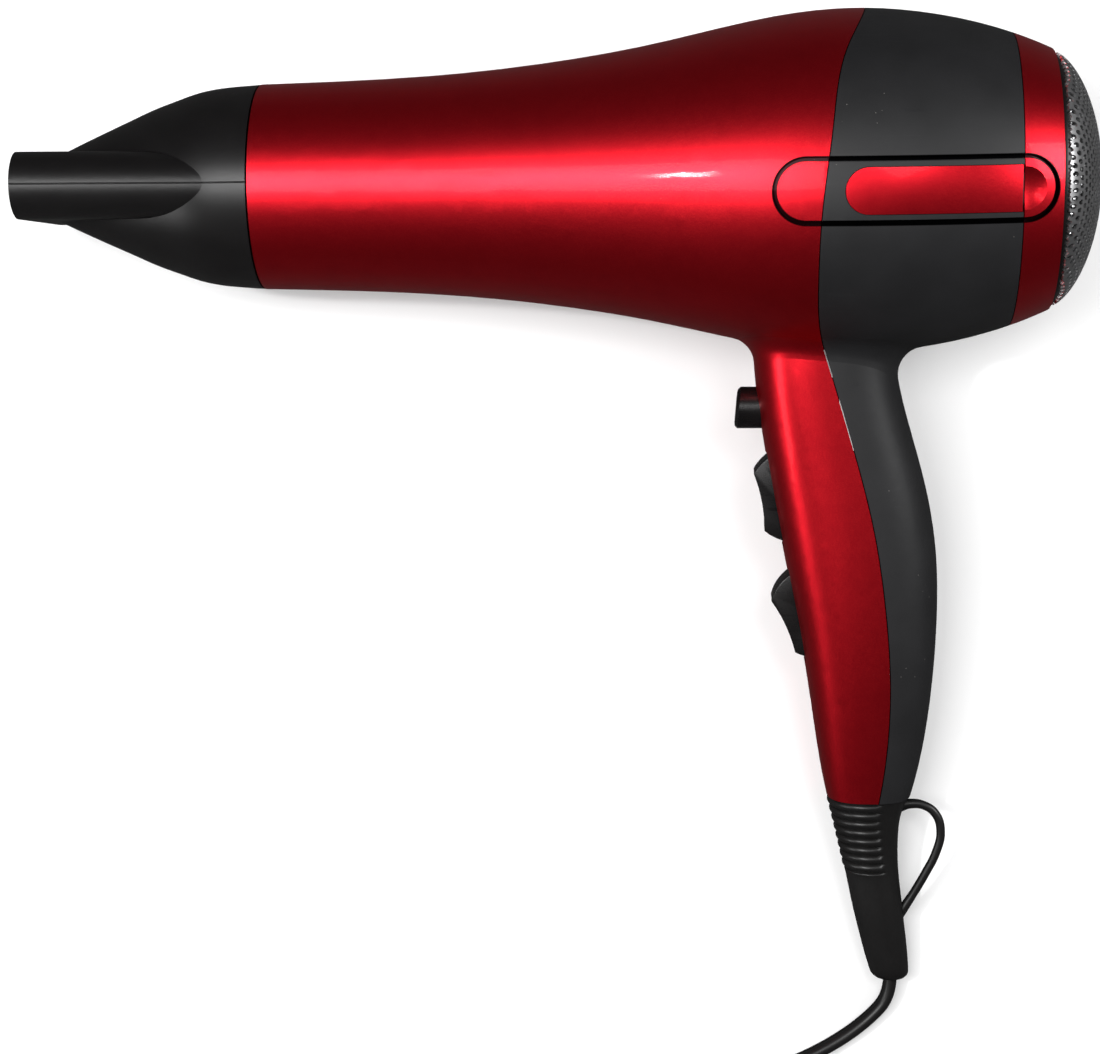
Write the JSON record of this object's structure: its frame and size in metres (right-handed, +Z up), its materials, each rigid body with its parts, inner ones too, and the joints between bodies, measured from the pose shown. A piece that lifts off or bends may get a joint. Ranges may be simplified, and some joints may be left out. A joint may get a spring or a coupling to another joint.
{
  "type": "hair dryer",
  "caption": "Pistol-grip hair dryer lying on its side, with a turning concentrator nozzle, rear filter cap, two rocker switches, cool-shot button and a coiled mains cord with plug.",
  "frame": {"origin": "centre of the bottom of the box round the dryer without its cord, on the surface it lies on", "axes": "+X towards the air intake along the barrel, +Y from the handle to the top of the barrel, +Z up, off the surface, out of the dryer's left side"},
  "size_m": [0.2689, 0.3545, 0.0856],
  "materials": {
    "pearl_red": "pearl metallic red under a clear coat",
    "soft_black": "soft-touch matt dark grey",
    "satin_black": "satin moulded black",
    "gloss_black": "glossy moulded black",
    "grille_metal": "dark perforated metal",
    "filter_mesh": "fine woven mesh",
    "mica": "mica sheet",
    "heating_wire": "resistance wire",
    "steel": "plated steel",
    "iron": "laminated iron and ferrite",
    "white_nylon": "natural nylon",
    "brass": "nickel-free brass",
    "rubber_black": "soft moulded sleeve",
    "cord_jacket": "flexible cord jacket",
    "lead_jacket": "silicone wire insulation"
  },
  "bodies": {
    "housing": {"front_shell": "pearl_red", "rear_shell": "soft_black", "side_inlay_left": "pearl_red", "side_inlay_right": "pearl_red", "outlet_grille": "satin_black", "mica_sleeve": "mica", "heater_board_upright": "mica", "heater_board_flat": "mica", "heater_coil": "heating_wire", "thermostat": "steel", "thermal_fuse": "steel", "motor_can": "steel", "motor_endcap": "white_nylon", "motor_bushes": "brass", "motor_magnets": "iron", "fan_duct": "white_nylon", "rectifier_diodes": "gloss_black", "button_spring": "steel", "switch_frame": "white_nylon", "rocker_pins": "steel", "heat_switch": "satin_black", "speed_switch": "satin_black", "cool_switch": "satin_black", "strain_relief": "rubber_black", "cord_clamp": "white_nylon", "clamp_screws": "steel", "handle_screws": "steel", "inner_leads": "lead_jacket", "cord": "cord_jacket", "cord_tail": "cord_jacket", "cord_coil": "cord_jacket", "cord_tie": "satin_black", "plug_body": "satin_black", "plug_pins": "brass"},
    "nozzle_mount": {"nozzle_sleeve": "satin_black"},
    "nozzle": {"nozzle": "satin_black"},
    "rear_cap": {"rear_cap": "pearl_red", "intake_grille": "grille_metal", "lint_filter": "filter_mesh"},
    "fan": {"fan_impeller": "satin_black", "motor_shaft": "steel", "motor_rotor": "iron"},
    "heat_rocker": {"heat_rocker": "gloss_black"},
    "speed_rocker": {"speed_rocker": "gloss_black"},
    "cool_button": {"cool_button": "gloss_black"}
  },
  "joints": [
    {"name": "nozzle_pull", "type": "slide", "parent": "housing", "child": "nozzle_mount", "axis": [-0.9974, 0, -0.072], "range_m": [0, 0.014]},
    {"name": "nozzle_turn", "type": "hinge", "parent": "nozzle_mount", "child": "nozzle", "pos_m": [-0.07884, 0.08181, 0.03173], "axis": [0.9974, 0, 0.072], "continuous": true},
    {"name": "rear_cap_pull", "type": "slide", "parent": "housing", "child": "rear_cap", "axis": [0.9974, 0, 0.072], "range_m": [0, 0.03]},
    {"name": "fan_spin", "type": "hinge", "parent": "housing", "child": "fan", "pos_m": [0.06579, 0.08181, 0.04217], "axis": [0.9974, 0, 0.072], "continuous": true},
    {"name": "heat_rocker_tilt", "type": "hinge", "parent": "housing", "child": "heat_rocker", "pos_m": [0.06122, 0.00417, 0.02709], "axis": [-0.0708, -0.1862, 0.98], "range_deg": [-14, 14]},
    {"name": "speed_rocker_tilt", "type": "hinge", "parent": "housing", "child": "speed_rocker", "pos_m": [0.06716, -0.0256, 0.02186], "axis": [-0.0708, -0.1862, 0.98], "range_deg": [-28, 0]},
    {"name": "cool_button_press", "type": "slide", "parent": "housing", "child": "cool_button", "axis": [0.9974, 0, 0.072], "range_m": [0, 0.003], "stiffness_N_per_m": 350, "springref_m": -0.001, "deforming": ["button_spring"]}
  ]
}
